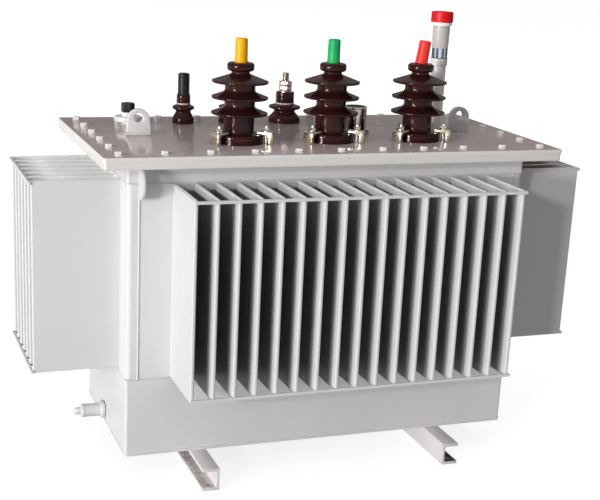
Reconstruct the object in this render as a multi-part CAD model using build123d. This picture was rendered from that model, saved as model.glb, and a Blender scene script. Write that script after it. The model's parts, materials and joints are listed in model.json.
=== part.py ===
"""Oil-filled distribution transformer with corrugated tank walls. Millimetres, +Z up.

The origin lies on the ground under the middle of the tank. X runs along the tank and Y from
the high-voltage side, at the front, to the low-voltage side.
"""

import os

from build123d import *

# Base channels: rolled steel lying front to back, backs towards each other
channel_height = 50.0
channel_flange = 37.0
channel_web = 5.0
channel_flange_thickness = 6.5
channel_root_radius = 5.0
channel_length = 612.0
channel_back_spacing = 533.0
channel_offset = -8.0
foot_hole_radius = 7.0
foot_hole_from_back = 18.0
foot_hole_from_end = 19.0

# Tank: bottom plate, skirt, corrugated band and collar, one above the other
tank_length = 915.0
tank_width = 400.0
tank_corner_radius = 6.0
bottom_thickness = 6.0
skirt_height = 170.0
skirt_thickness = 5.0
band_height = 426.0
collar_height = 40.0
collar_thickness = 5.0
corner_leg = 26.0
corner_radius = 12.0
corner_thickness = 4.0

# Corrugated walls: one folded sheet each, with hollow fins
fin_pitch = 45.3
fin_width = 8.0
fin_tip_radius = 3.0
fin_sheet = 1.5
fin_end_margin = 3.0
long_wall_fin_margin = 50.0
long_wall_fin_depth = 164.0
long_wall_fin_offset = 6.0
end_wall_fin_margin = 25.0
end_wall_fin_depth = 185.0
end_wall_fin_lift = 8.0
fin_bar_height = 6.0
fin_bar_thickness = 5.0
fin_bar_overhang = 3.0

# Cover: flange frame, gasket, plate, lifting lugs and the lashing ears under the frame
flange_overhang = 59.0
flange_inner_lip = 14.0
flange_thickness = 15.0
gasket_thickness = 2.0
gasket_inset = 1.0
cover_rim = 1.5
cover_thickness = 8.0
cover_corner_radius = 6.0
ear_thickness = 6.0
ear_reach = 46.0
ear_height = 66.0
ear_drop = 3.0
lug_from_tank_end = 69.5
lug_foot_width = 54.0
lug_foot_height = 12.0
lug_crown_height = 33.5
lug_crown_radius = 25.0
lug_thickness = 12.0
lug_hole_height = 39.0
lug_hole_radius = 10.0

# High-voltage bushings: three shedded porcelains held down by claws
hv_first_x = -191.0
hv_pitch = 211.0
hv_from_front_wall = 100.0
hv_body_radius = 33.0
hv_foot_ledge = 21.0
hv_foot_height = 20.0
hv_foot_round = 5.0
hv_shed_reach = 28.0
hv_shed_edge = 5.0
hv_shed_edge_round = 2.2
hv_shed_rise = 10.0
hv_lowest_shed = 62.5
hv_shed_pitch = 33.5
hv_shed_count = 3
hv_crown_rise = 14.5
hv_neck_radius = 20.0
hv_neck_height = 6.0
hv_knob_radius = 29.5
hv_knob_height = 18.0
hv_knob_round = 6.0
hv_cap_radius = 13.8
hv_cap_taper = 1.0
hv_cap_height = 49.5
hv_cap_round = 2.5
claw_count = 3
claw_first_turn = 90.0
claw_width = 18.0
claw_leg = 10.0
claw_arm = 7.0
claw_arch_radius = 9.0
claw_corner_radius = 4.0
claw_grip = 7.0
claw_gap = 2.6
claw_stud_radius = 4.0
claw_stud_height = 39.0
claw_nut_flats = 13.0
claw_nut_height = 6.5

# Low-voltage bushings: one small neutral, then three phases
lv_first_x = -243.0
lv_pitch = 125.0
lv_from_back_wall = 35.0
lv_phase_count = 3
lv_foot_height = 11.0
lv_foot_round = 5.5
lv_flare_height = 17.0
lv_shed_drop = 5.5
lv_shed_edge = 5.0
lv_shed_edge_round = 2.0
lv_shed_rise = 4.5
lv_groove_height = 4.0
lv_groove_depth = 2.5
lv_collar_round = 2.5
lv_phase_neck_radius = 22.0
lv_phase_shed_reach = 16.0
lv_phase_collar_height = 25.0
lv_neutral_neck_radius = 16.0
lv_neutral_shed_reach = 9.5
lv_neutral_collar_height = 18.0
lv_stud_radius = 8.0
lv_stud_height = 45.0
lv_nut_flats = 27.0
lv_nut_height = 11.0
lv_upper_nut_turn = 20.0
lv_washer_radius = 15.0
lv_washer_thickness = 3.0
lv_sleeve_radius = 13.5
lv_sleeve_height = 50.0
lv_sleeve_round = 2.0

# Oil gauge: stand pipe, caged sight glass, filler head and screw cap
gauge_from_right_end = 132.0
gauge_y = 2.0
gauge_pipe_radius = 17.5
gauge_pipe_height = 155.0
gauge_glass_radius = 14.0
gauge_sight_height = 23.0
gauge_bar_radius = 2.2
gauge_bar_clearance = 0.6
gauge_bar_count = 6
gauge_collar_rim = 1.0
gauge_collar_height = 16.5
gauge_head_height = 46.5
gauge_lip_step = 3.0
gauge_lip_height = 10.5
gauge_cap_step = 2.5
gauge_cap_height = 26.0
gauge_cap_round = 2.0
gauge_weld_radius = 23.0
gauge_weld_height = 5.0

# Pressure relief can
relief_x = 117.0
relief_y = -10.0
relief_flange_radius = 34.0
relief_flange_height = 6.0
relief_can_radius = 26.0
relief_height = 63.0
relief_round = 4.0

# Thermometer pocket with its screw plug
pocket_from_left_end = 79.0
pocket_from_back_wall = 55.0
pocket_pipe_radius = 14.5
pocket_flange_bottom = 9.0
pocket_flange_radius = 30.0
pocket_flange_height = 11.0
pocket_neck_height = 9.5
plug_flats = 27.0
plug_height = 20.5
plug_round = 1.5

# Drain valve in the left skirt wall
valve_y = 15.0
valve_above_bottom = 29.0
valve_flange_radius = 20.0
valve_flange_length = 11.0
valve_body_radius = 15.5
valve_body_length = 44.0
valve_nose_radius = 8.5
valve_nose_length = 16.0

# Core and windings, sealed inside the tank and kept plain
core_foot_height = 20.0
core_limb = 105.0
core_cover_clearance = 46.0
winding_end_gap = 10.0
winding_side_clearance = 70.0
winding_end_clearance = 60.0
winding_count = 3

# Heights and places that follow from the sizes above
bottom_z = channel_height
skirt_z = bottom_z + bottom_thickness
band_z = skirt_z + skirt_height
collar_z = band_z + band_height
flange_z = collar_z + collar_height
gasket_z = flange_z + flange_thickness
cover_z = gasket_z + gasket_thickness
top_z = cover_z + cover_thickness
flange_length = tank_length + 2 * flange_overhang
flange_width = tank_width + 2 * flange_overhang
half_length = tank_length / 2
half_width = tank_width / 2
lug_x = half_length - lug_from_tank_end
hv_row_y = hv_from_front_wall - half_width
lv_row_y = half_width - lv_from_back_wall
gauge_x = half_length - gauge_from_right_end
pocket_x = pocket_from_left_end - half_length
pocket_y = half_width - pocket_from_back_wall
long_wall_length = tank_length - 2 * corner_leg
end_wall_length = tank_width - 2 * corner_leg
hv_foot_radius = hv_body_radius + hv_foot_ledge
hv_shed_radius = hv_body_radius + hv_shed_reach
hv_neck_bottom = hv_lowest_shed + (hv_shed_count - 1) * hv_shed_pitch + hv_shed_edge / 2 + hv_crown_rise
hv_knob_bottom = hv_neck_bottom + hv_neck_height
hv_knob_top = hv_knob_bottom + hv_knob_height
claw_circle = hv_foot_radius + claw_gap + claw_stud_radius
lv_neck_height = lv_foot_height + lv_flare_height
lv_shed_bottom = lv_neck_height + lv_shed_drop
lv_shed_top = lv_shed_bottom + lv_shed_edge
lv_groove_bottom = lv_shed_top + lv_shed_rise
lv_collar_bottom = lv_groove_bottom + lv_groove_height
lv_phase_top = lv_collar_bottom + lv_phase_collar_height
lv_neutral_top = lv_collar_bottom + lv_neutral_collar_height
gauge_bar_circle = gauge_glass_radius + gauge_bar_clearance + gauge_bar_radius
gauge_collar_radius = gauge_bar_circle + gauge_bar_radius + gauge_collar_rim
gauge_lip_radius = gauge_collar_radius + gauge_lip_step
gauge_cap_radius = gauge_lip_radius + gauge_cap_step
gauge_sight_bottom = gauge_pipe_height + gauge_collar_height
gauge_sight_top = gauge_sight_bottom + gauge_sight_height
gauge_lip_bottom = gauge_sight_top + gauge_head_height
gauge_cap_bottom = gauge_lip_bottom + gauge_lip_height
pocket_flange_top = pocket_flange_bottom + pocket_flange_height
pocket_top = pocket_flange_top + pocket_neck_height
core_height = cover_z - core_cover_clearance - skirt_z - core_foot_height
core_window = core_height - 2 * core_limb


def plate(length, width, thickness, radius, z):
    """Flat rectangle with rounded corners, its underside at z."""
    return Pos(0, 0, z) * extrude(RectangleRounded(length, width, radius), thickness)


def frame(outer, inner, thickness, radius, inner_radius, z):
    """Rectangular ring between two rounded outlines."""
    outline = RectangleRounded(*outer, radius) - RectangleRounded(*inner, inner_radius)
    return Pos(0, 0, z) * extrude(outline, thickness)


def turned(points, rounds=()):
    """Revolve a half outline about the Z axis; rounds pairs a corner with its radius."""
    outline = make_face(Polyline(*points, close=True))
    for corner, radius in rounds:
        outline = fillet(outline.vertices().sort_by_distance(corner)[0], radius)
    return revolve(Plane.XZ * outline, Axis.Z)


def hexagon(flats, height, z):
    """Hexagonal nut or plug standing on z."""
    return Pos(0, 0, z) * extrude(RegularPolygon(flats / 2, 6, major_radius=False), height)


def base_channel(side):
    """Channel with its back towards the middle and its flanges outwards, bored for anchor bolts."""
    back = channel_back_spacing / 2
    tip = back + channel_flange
    section = Pos((back + tip) / 2, channel_height / 2) * Rectangle(channel_flange, channel_height)
    hollow_height = channel_height - 2 * channel_flange_thickness
    hollow = Pos((back + channel_web + tip) / 2, channel_height / 2) * Rectangle(
        channel_flange - channel_web, hollow_height
    )
    hollow = fillet(hollow.vertices().group_by(Axis.X)[0], channel_root_radius)
    beam = extrude(Plane.XZ * (section - hollow), channel_length / 2, both=True)
    hole_x = back + foot_hole_from_back
    hole_y = channel_length / 2 - foot_hole_from_end
    drill = Pos(hole_x, 0, 0) * Cylinder(foot_hole_radius, channel_height)
    beam -= [Pos(0, y, 0) * drill for y in (-hole_y, hole_y)]
    return Pos(channel_offset, 0, 0) * (beam if side > 0 else mirror(beam, Plane.YZ))


def corner_posts():
    """Four bent corner sheets of the corrugated band."""
    ring = RectangleRounded(tank_length, tank_width, corner_radius) - RectangleRounded(
        tank_length - 2 * corner_thickness,
        tank_width - 2 * corner_thickness,
        corner_radius - corner_thickness,
    )
    posts = []
    for x in (-1, 1):
        for y in (-1, 1):
            corner = Pos(x * (half_length - corner_leg / 2), y * (half_width - corner_leg / 2))
            section = ring & corner * Rectangle(corner_leg, corner_leg)
            posts.append(Pos(0, 0, band_z) * extrude(section, band_height))
    return Compound(posts)


def fin_count(length, margin):
    """Number of fins that a wall of this length holds between its flat margins."""
    return 1 + int((length - fin_width - 2 * margin) // fin_pitch)


def corrugated_wall(length, fins, depth, lift, offset):
    """Folded wall sheet with its outer face on Y 0 and hollow fins towards -Y, closed at both ends."""
    fin_bottom = fin_end_margin + lift
    fin_height = band_height - fin_end_margin - fin_bottom
    sheet = Pos(0, fin_sheet / 2) * Rectangle(length, fin_sheet)
    fin = Pos(0, (fin_sheet - depth) / 2) * Rectangle(fin_width, depth + fin_sheet)
    fin = fillet(fin.vertices().group_by(Axis.Y)[0], fin_tip_radius)
    pocket = Pos(0, fin_sheet - depth / 2) * Rectangle(fin_width - 2 * fin_sheet, depth)
    pocket = fillet(pocket.vertices().group_by(Axis.Y)[0], fin_tip_radius - fin_sheet)
    places = [Pos(offset, 0) * place for place in GridLocations(fin_pitch, 1, fins, 1).locations]
    wall = extrude(sheet, band_height)
    wall += [Pos(0, 0, fin_bottom) * extrude(place * fin, fin_height) for place in places]
    pocket_height = fin_height - 2 * fin_sheet
    wall -= [Pos(0, 0, fin_bottom + fin_sheet) * extrude(place * pocket, pocket_height) for place in places]
    return wall


def fin_bars(fins, depth, lift, offset):
    """Two flat bars welded across the fin tips, flush with the first fin and running past the last."""
    length = (fins - 1) * fin_pitch + fin_width + fin_bar_overhang
    bar_y = -depth - fin_bar_thickness / 2
    low = fin_end_margin + lift + fin_bar_height / 2
    high = band_height - fin_end_margin - fin_bar_height / 2
    bar = Pos(offset + fin_bar_overhang / 2, bar_y, 0) * Box(length, fin_bar_thickness, fin_bar_height)
    return [Pos(0, 0, z) * bar for z in (low, high)]


def on_wall(side, shape):
    """Carry a wall made for the front to the named side of the tank."""
    turns = {"front": 0, "right": 90, "back": 180, "left": 270}
    reach = half_width if side in ("front", "back") else half_length
    return Rot(0, 0, turns[side]) * Pos(0, -reach, band_z) * shape


def lashing_ears():
    """Round ears under the flange frame, on the long walls beside the left corner posts."""
    nose = ThreePointArc((0, 0), (-ear_reach, -ear_height / 2), (0, -ear_height))
    ear = extrude(Plane.YZ * make_face(nose + Line((0, -ear_height), (0, 0))), ear_thickness / 2, both=True)
    front = Pos(corner_leg - half_length, -half_width, flange_z - ear_drop) * ear
    return Compound([front, mirror(front, Plane.XZ)])


def lifting_lug():
    """Upright plate with a round crown and a shackle hole, welded to the cover."""
    crown = Pos(0, lug_crown_height) * Circle(lug_crown_radius)
    foot = Pos(0, lug_foot_height / 2) * Rectangle(lug_foot_width, lug_foot_height)
    outline = make_hull(crown.edges() + foot.edges()) - Pos(0, lug_hole_height) * Circle(lug_hole_radius)
    return Pos(0, 0, top_z) * extrude(Plane.XZ * outline, lug_thickness / 2, both=True)


def hv_bushing():
    """Porcelain with a clamping foot, three wide sheds, a neck and a round head."""
    points = [(0, 0), (hv_foot_radius, 0), (hv_foot_radius, hv_foot_height), (hv_body_radius, hv_foot_height)]
    rounds = [((hv_foot_radius, hv_foot_height), hv_foot_round)]
    for step in range(hv_shed_count):
        rim = hv_lowest_shed + step * hv_shed_pitch
        last = step == hv_shed_count - 1
        rim_top = rim + hv_shed_edge / 2
        shoulder = (hv_neck_radius, hv_neck_bottom) if last else (hv_body_radius, rim_top + hv_shed_rise)
        points += [(hv_body_radius, rim - hv_shed_edge / 2), (hv_shed_radius, rim - hv_shed_edge / 2)]
        points += [(hv_shed_radius, rim_top), shoulder]
        rounds += [((hv_shed_radius, z), hv_shed_edge_round) for z in (rim_top - hv_shed_edge, rim_top)]
    points += [(hv_neck_radius, hv_knob_bottom), (hv_knob_radius, hv_knob_bottom)]
    points += [(hv_knob_radius, hv_knob_top), (0, hv_knob_top)]
    rounds += [((hv_knob_radius, hv_knob_top), hv_knob_round)]
    return turned(points, rounds)


def hv_cap():
    """Tapered colour sleeve over the terminal."""
    top = hv_knob_top + hv_cap_height
    top_radius = hv_cap_radius - hv_cap_taper
    points = [(0, hv_knob_top), (hv_cap_radius, hv_knob_top), (top_radius, top), (0, top)]
    return turned(points, [((top_radius, top), hv_cap_round)])


def hv_claws():
    """Cast claws round a bushing foot, each a leg arched into an arm, with its stud and nut."""
    tip = hv_foot_radius - hv_foot_round - claw_grip
    leg_inside = claw_circle + claw_stud_radius + claw_gap
    leg_outside = leg_inside + claw_leg
    arm_top = hv_foot_height + claw_arm
    outline = make_face(
        Polyline(
            (tip, hv_foot_height),
            (tip, arm_top),
            (leg_outside, arm_top),
            (leg_outside, 0),
            (leg_inside, 0),
            (leg_inside, hv_foot_height),
            close=True,
        )
    )
    for corner, radius in (
        ((leg_outside, arm_top), claw_corner_radius),
        ((leg_inside, hv_foot_height), claw_arch_radius),
    ):
        outline = fillet(outline.vertices().sort_by_distance(corner)[0], radius)
    claw = extrude(Plane.XZ * outline, claw_width / 2, both=True)
    claw += Pos(claw_circle, 0, claw_stud_height / 2) * Cylinder(claw_stud_radius, claw_stud_height)
    claw += Pos(claw_circle, 0, 0) * hexagon(claw_nut_flats, claw_nut_height, arm_top)
    turn = 360 / claw_count
    return [Rot(0, 0, claw_first_turn + turn * step) * claw for step in range(claw_count)]


def lv_bushing(neck, shed_reach, collar_top):
    """Small porcelain: flared foot, one shed and a straight collar over a groove."""
    radius = neck + shed_reach
    groove = neck - lv_groove_depth
    points = [
        (0, 0),
        (radius, 0),
        (radius, lv_foot_height),
        (neck, lv_neck_height),
        (radius, lv_shed_bottom),
        (radius, lv_shed_top),
        (neck, lv_groove_bottom),
        (groove, lv_groove_bottom),
        (groove, lv_collar_bottom),
        (neck, lv_collar_bottom),
        (neck, collar_top),
        (0, collar_top),
    ]
    rounds = [((radius, z), lv_shed_edge_round) for z in (lv_shed_bottom, lv_shed_top)]
    rounds += [((radius, lv_foot_height), lv_foot_round), ((neck, collar_top), lv_collar_round)]
    return turned(points, rounds)


def lv_terminal():
    """Threaded stud with a washer and two nuts."""
    terminal = Pos(0, 0, lv_stud_height / 2) * Cylinder(lv_stud_radius, lv_stud_height)
    terminal += Pos(0, 0, lv_washer_thickness / 2) * Cylinder(lv_washer_radius, lv_washer_thickness)
    terminal += hexagon(lv_nut_flats, lv_nut_height, lv_washer_thickness)
    upper_nut = lv_washer_thickness + lv_nut_height
    terminal += Rot(0, 0, lv_upper_nut_turn) * hexagon(lv_nut_flats, lv_nut_height, upper_nut)
    return Pos(0, 0, lv_phase_top) * terminal


def lv_sleeve():
    """Plain insulating sleeve over the neutral terminal."""
    top = lv_neutral_top + lv_sleeve_height
    points = [(0, lv_neutral_top), (lv_sleeve_radius, lv_neutral_top), (lv_sleeve_radius, top), (0, top)]
    return turned(points, [((lv_sleeve_radius, top), lv_sleeve_round)])


def gauge_pipe():
    """Stand pipe with a weld ring at its foot, a collar and the bars of the sight cage."""
    points = [
        (0, 0),
        (gauge_weld_radius, 0),
        (gauge_pipe_radius, gauge_weld_height),
        (gauge_pipe_radius, gauge_pipe_height),
        (gauge_collar_radius, gauge_pipe_height),
        (gauge_collar_radius, gauge_sight_bottom),
        (0, gauge_sight_bottom),
    ]
    middle = gauge_sight_bottom + gauge_sight_height / 2
    bar = Pos(0, 0, middle) * Cylinder(gauge_bar_radius, gauge_sight_height)
    places = PolarLocations(gauge_bar_circle, gauge_bar_count).locations
    return turned(points) + [place * bar for place in places]


def gauge_glass():
    """Sight glass inside the cage."""
    middle = gauge_sight_bottom + gauge_sight_height / 2
    return Pos(0, 0, middle) * Cylinder(gauge_glass_radius, gauge_sight_height)


def gauge_head():
    """Filler neck above the sight glass, with a lip under the cap."""
    points = [
        (0, gauge_sight_top),
        (gauge_collar_radius, gauge_sight_top),
        (gauge_collar_radius, gauge_lip_bottom),
        (gauge_lip_radius, gauge_lip_bottom),
        (gauge_lip_radius, gauge_cap_bottom),
        (0, gauge_cap_bottom),
    ]
    return turned(points)


def gauge_cap():
    """Screw cap of the filler neck."""
    top = gauge_cap_bottom + gauge_cap_height
    radius = gauge_cap_radius
    points = [(0, gauge_cap_bottom), (radius, gauge_cap_bottom), (radius, top), (0, top)]
    return turned(points, [((radius, top), gauge_cap_round)])


def relief_valve():
    """Bright can of the pressure relief valve on its bolted flange."""
    points = [
        (0, 0),
        (relief_flange_radius, 0),
        (relief_flange_radius, relief_flange_height),
        (relief_can_radius, relief_flange_height),
        (relief_can_radius, relief_height),
        (0, relief_height),
    ]
    return turned(points, [((relief_can_radius, relief_height), relief_round)])


def thermometer_pocket():
    """Pipe stub with a wide flange for the thermometer."""
    points = [
        (0, 0),
        (pocket_pipe_radius, 0),
        (pocket_pipe_radius, pocket_flange_bottom),
        (pocket_flange_radius, pocket_flange_bottom),
        (pocket_flange_radius, pocket_flange_top),
        (pocket_pipe_radius, pocket_flange_top),
        (pocket_pipe_radius, pocket_top),
        (0, pocket_top),
    ]
    return turned(points)


def pocket_plug():
    """Hexagonal screw plug on the thermometer pocket, its top edge rounded."""
    plug = hexagon(plug_flats, plug_height, pocket_top)
    return fillet(plug.faces().sort_by(Axis.Z)[-1].edges(), plug_round)


def drain_valve():
    """Valve turned along -X: a weld flange, a body and a threaded nose."""
    body_end = valve_flange_length + valve_body_length
    points = [
        (0, 0),
        (valve_flange_radius, 0),
        (valve_flange_radius, valve_flange_length),
        (valve_body_radius, valve_flange_length),
        (valve_body_radius, body_end),
        (valve_nose_radius, body_end),
        (valve_nose_radius, body_end + valve_nose_length),
        (0, body_end + valve_nose_length),
    ]
    place = Pos(-half_length, valve_y, bottom_z + valve_above_bottom)
    return place * Rot(0, -90, 0) * turned(points)


def core_and_windings():
    """Three-limb core on two feet, with a round winding on each limb."""
    radius = half_width - skirt_thickness - winding_side_clearance
    reach = half_length - skirt_thickness - winding_end_clearance - radius
    spacing = 2 * reach / (winding_count - 1)
    yoke_length = 2 * reach + core_limb
    lower_yoke = skirt_z + core_foot_height + core_limb / 2
    window = lower_yoke + (core_limb + core_window) / 2
    upper_yoke = lower_yoke + core_limb + core_window
    core = Pos(0, 0, lower_yoke) * Box(yoke_length, core_limb, core_limb)
    core += Pos(0, 0, upper_yoke) * Box(yoke_length, core_limb, core_limb)
    for place in GridLocations(spacing, 1, winding_count, 1).locations:
        core += Pos(0, 0, window) * place * Box(core_limb, core_limb, core_window)
        core += Pos(0, 0, window) * place * Cylinder(radius, core_window - 2 * winding_end_gap)
    foot = Box(core_limb, 2 * radius, core_foot_height)
    core += [Pos(x, 0, skirt_z + core_foot_height / 2) * foot for x in (-reach, reach)]
    return core


def on_cover(x, y, shape):
    """Stand a fitting, or a list of its solids, on the cover."""
    place = Pos(x, y, top_z)
    if isinstance(shape, list):
        return Compound([place * solid for solid in shape])
    return place * shape


nodes = {
    "base_channel_left": base_channel(-1),
    "base_channel_right": base_channel(1),
    "bottom_plate": plate(tank_length, tank_width, bottom_thickness, tank_corner_radius, bottom_z),
    "corner_posts": corner_posts(),
    "lashing_ears": lashing_ears(),
    "core_and_windings": core_and_windings(),
}
cover_size = (flange_length + 2 * cover_rim, flange_width + 2 * cover_rim)
nodes["cover_plate"] = plate(*cover_size, cover_thickness, cover_corner_radius, cover_z)
nodes["lower_skirt"] = frame(
    (tank_length, tank_width),
    (tank_length - 2 * skirt_thickness, tank_width - 2 * skirt_thickness),
    skirt_height,
    tank_corner_radius,
    tank_corner_radius - skirt_thickness,
    skirt_z,
)
nodes["upper_collar"] = frame(
    (tank_length, tank_width),
    (tank_length - 2 * collar_thickness, tank_width - 2 * collar_thickness),
    collar_height,
    tank_corner_radius,
    tank_corner_radius - collar_thickness,
    collar_z,
)
flange_opening = (tank_length - 2 * flange_inner_lip, tank_width - 2 * flange_inner_lip)
nodes["flange_frame"] = frame(
    (flange_length, flange_width),
    flange_opening,
    flange_thickness,
    cover_corner_radius,
    cover_corner_radius,
    flange_z,
)
nodes["cover_gasket"] = frame(
    (flange_length - 2 * gasket_inset, flange_width - 2 * gasket_inset),
    flange_opening,
    gasket_thickness,
    cover_corner_radius,
    cover_corner_radius,
    gasket_z,
)

long_fins = (fin_count(long_wall_length, long_wall_fin_margin), long_wall_fin_depth, 0, long_wall_fin_offset)
end_fins = (fin_count(end_wall_length, end_wall_fin_margin), end_wall_fin_depth, end_wall_fin_lift, 0)
walls = {
    "long_wall": (("front", "back"), long_wall_length, long_fins),
    "end_wall": (("left", "right"), end_wall_length, end_fins),
}
for name, (sides, length, fins) in walls.items():
    for side in sides:
        nodes[f"{side}_corrugated_wall"] = on_wall(side, corrugated_wall(length, *fins))
    nodes[f"{name}_fin_bars"] = Compound([on_wall(side, bar) for side in sides for bar in fin_bars(*fins)])

for name, x in (("left", -lug_x), ("right", lug_x)):
    nodes[f"lifting_lug_{name}"] = Pos(x, 0, 0) * lifting_lug()

for step, name in enumerate(("yellow", "green", "red")):
    x = hv_first_x + step * hv_pitch
    nodes[f"hv_bushing_{name}"] = on_cover(x, hv_row_y, hv_bushing())
    nodes[f"hv_cap_{name}"] = on_cover(x, hv_row_y, hv_cap())
    nodes[f"hv_claws_{name}"] = on_cover(x, hv_row_y, hv_claws())

neutral = lv_bushing(lv_neutral_neck_radius, lv_neutral_shed_reach, lv_neutral_top)
nodes["lv_bushing_neutral"] = on_cover(lv_first_x, lv_row_y, neutral)
nodes["lv_sleeve_neutral"] = on_cover(lv_first_x, lv_row_y, lv_sleeve())
for step in range(1, lv_phase_count + 1):
    x = lv_first_x + step * lv_pitch
    phase = lv_bushing(lv_phase_neck_radius, lv_phase_shed_reach, lv_phase_top)
    nodes[f"lv_bushing_{step}"] = on_cover(x, lv_row_y, phase)
    nodes[f"lv_terminal_{step}"] = on_cover(x, lv_row_y, lv_terminal())

nodes["oil_gauge_pipe"] = on_cover(gauge_x, gauge_y, gauge_pipe())
nodes["oil_gauge_glass"] = on_cover(gauge_x, gauge_y, gauge_glass())
nodes["oil_gauge_head"] = on_cover(gauge_x, gauge_y, gauge_head())
nodes["oil_gauge_cap"] = on_cover(gauge_x, gauge_y, gauge_cap())
nodes["relief_valve"] = on_cover(relief_x, relief_y, relief_valve())
nodes["thermometer_pocket"] = on_cover(pocket_x, pocket_y, thermometer_pocket())
nodes["thermometer_plug"] = on_cover(pocket_x, pocket_y, pocket_plug())
nodes["drain_valve"] = drain_valve()

os.makedirs("parts", exist_ok=True)
for name, shape in nodes.items():
    export_step(shape, f"parts/{name}.step")
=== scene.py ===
# %% [markdown]
# # Dressing an oil-filled distribution transformer
# The construction is already there: every plate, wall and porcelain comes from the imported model, in
# metres, standing on Z 0 with its high-voltage side towards -Y. This lesson gives each of them its
# finish and adds what the workshop adds last: rounded edges, weld beads, bolts, nuts, knurls and thread.

import json
import math

import bmesh
import bpy
from mathutils import Matrix, Vector


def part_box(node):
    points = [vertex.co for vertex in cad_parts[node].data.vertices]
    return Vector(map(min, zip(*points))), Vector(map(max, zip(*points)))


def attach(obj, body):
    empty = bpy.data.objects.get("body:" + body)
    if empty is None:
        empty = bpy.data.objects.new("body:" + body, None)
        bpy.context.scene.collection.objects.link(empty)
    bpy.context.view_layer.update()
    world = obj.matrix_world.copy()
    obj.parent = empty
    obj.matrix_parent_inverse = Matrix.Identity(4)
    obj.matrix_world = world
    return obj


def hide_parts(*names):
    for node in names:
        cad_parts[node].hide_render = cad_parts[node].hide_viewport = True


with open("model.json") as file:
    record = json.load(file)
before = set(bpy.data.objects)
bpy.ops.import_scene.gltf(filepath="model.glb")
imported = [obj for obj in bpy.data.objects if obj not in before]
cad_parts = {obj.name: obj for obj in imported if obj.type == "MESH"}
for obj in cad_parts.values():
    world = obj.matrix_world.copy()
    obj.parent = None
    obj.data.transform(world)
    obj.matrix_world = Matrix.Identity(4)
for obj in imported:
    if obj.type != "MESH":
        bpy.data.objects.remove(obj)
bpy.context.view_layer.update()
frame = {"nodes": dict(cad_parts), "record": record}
scene = bpy.context.scene
nodes = frame["nodes"]
print("CAD nodes:", len(nodes))

# %% [markdown]
# ## Where things are
# Bolts, beads and fittings have their place on the tank and its cover. It could be typed in again for each
# of them, but then it would be wrong as soon as the tank changes. The levels below are read from the boxes
# of the CAD nodes instead, so a bolt sits on the cover wherever the cover is.

# %% Levels and outlines read from the frame
mm = 0.001
cover_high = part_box("cover_plate")[1]
flange_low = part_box("flange_frame")[0]
collar_low, collar_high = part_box("upper_collar")
skirt_low, skirt_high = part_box("lower_skirt")
cover_top = cover_high.z
half_length = skirt_high.x
half_width = skirt_high.y


def on_cover(node):
    """Matrix that carries a shape made at the origin to a fitting's axis on the cover."""
    low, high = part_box(node)
    return Matrix.Translation(((low.x + high.x) / 2, (low.y + high.y) / 2, cover_top))


print("cover top:", round(cover_top, 4), "half tank:", round(half_length, 4), round(half_width, 4))

# %% [markdown]
# ## An uneven coat
# Paint, glaze, plastic and plated metal have one thing in common: tone and gloss drift a little over
# the surface, and the skin is never quite flat. It could be copied into every material, but then a change
# would have to be made many times. One node group holds it, and each material gives it its own values.

# %% Helpers for shader nodes
socket_kinds = {"float": "NodeSocketFloat", "color": "NodeSocketColor"}


def add(tree, kind, **values):
    """Add a node, setting its sockets where the name is a socket's and its properties otherwise."""
    node = tree.nodes.new(kind)
    for key, value in values.items():
        label = key.replace("_", " ")
        if label in node.inputs:
            node.inputs[label].default_value = value
        else:
            setattr(node, key, value)
    return node


def feed(tree, socket, value):
    """Link a socket to another one, or set it to a number or a colour."""
    if isinstance(value, bpy.types.NodeSocket):
        tree.links.new(value, socket)
    else:
        socket.default_value = value


def noise(tree, place, scale, detail):
    """Noise over Object coordinates; the scale, in waves per metre, is a number or a socket."""
    node = add(tree, "ShaderNodeTexNoise", Detail=detail)
    tree.links.new(place, node.inputs["Vector"])
    feed(tree, node.inputs["Scale"], scale)
    return node.outputs["Fac"]


def remap(tree, value, low, high, from_low=0.3, from_high=0.7):
    """Stretch a mask to a new range; each limit is a number or a socket."""
    node = add(tree, "ShaderNodeMapRange")
    limits = {"From Min": from_low, "From Max": from_high, "To Min": low, "To Max": high, "Value": value}
    for label, limit in limits.items():
        feed(tree, node.inputs[label], limit)
    return node.outputs["Result"]


def mixed(tree, factor, first, second):
    """Mix two colours by a mask; each is a socket or a colour."""
    node = add(tree, "ShaderNodeMix", data_type="RGBA")
    sockets = [socket for socket in node.inputs if socket.type == "RGBA"]
    tree.links.new(factor, node.inputs["Factor"])
    for socket, colour in zip(sockets, (first, second)):
        feed(tree, socket, colour)
    return next(socket for socket in node.outputs if socket.type == "RGBA")


def new_group(name, inputs, outputs):
    """Empty node group with named sockets: the group, what it takes and what it gives."""
    group = bpy.data.node_groups.new(name, "ShaderNodeTree")
    for in_out, sockets in (("INPUT", inputs), ("OUTPUT", outputs)):
        for label, kind in sockets.items():
            group.interface.new_socket(label, in_out=in_out, socket_type=socket_kinds[kind])
    taken = group.nodes.new("NodeGroupInput").outputs
    given = group.nodes.new("NodeGroupOutput").inputs
    return group, taken, given


print("socket kinds:", list(socket_kinds))

# %% The group of the uneven coat
coat_inputs = {
    "Colour": "color", "Shade": "color", "Gloss low": "float", "Gloss high": "float",
    "Drift scale": "float", "Skin scale": "float",
}
coat_outputs = {"Colour": "color", "Roughness": "float", "Height": "float"}
gloss_patches = 31.0


def uneven_coat_group():
    """Colour drift, patchy gloss and a faintly bumpy skin."""
    group, taken, given = new_group("uneven_coat", coat_inputs, coat_outputs)
    place = add(group, "ShaderNodeTexCoord").outputs["Object"]
    drift = remap(group, noise(group, place, taken["Drift scale"], 4.0), 0.0, 1.0)
    patches = noise(group, place, gloss_patches, 4.0)
    group.links.new(mixed(group, drift, taken["Colour"], taken["Shade"]), given["Colour"])
    group.links.new(remap(group, patches, taken["Gloss low"], taken["Gloss high"]), given["Roughness"])
    group.links.new(noise(group, place, taken["Skin scale"], 1.0), given["Height"])
    return group


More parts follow.
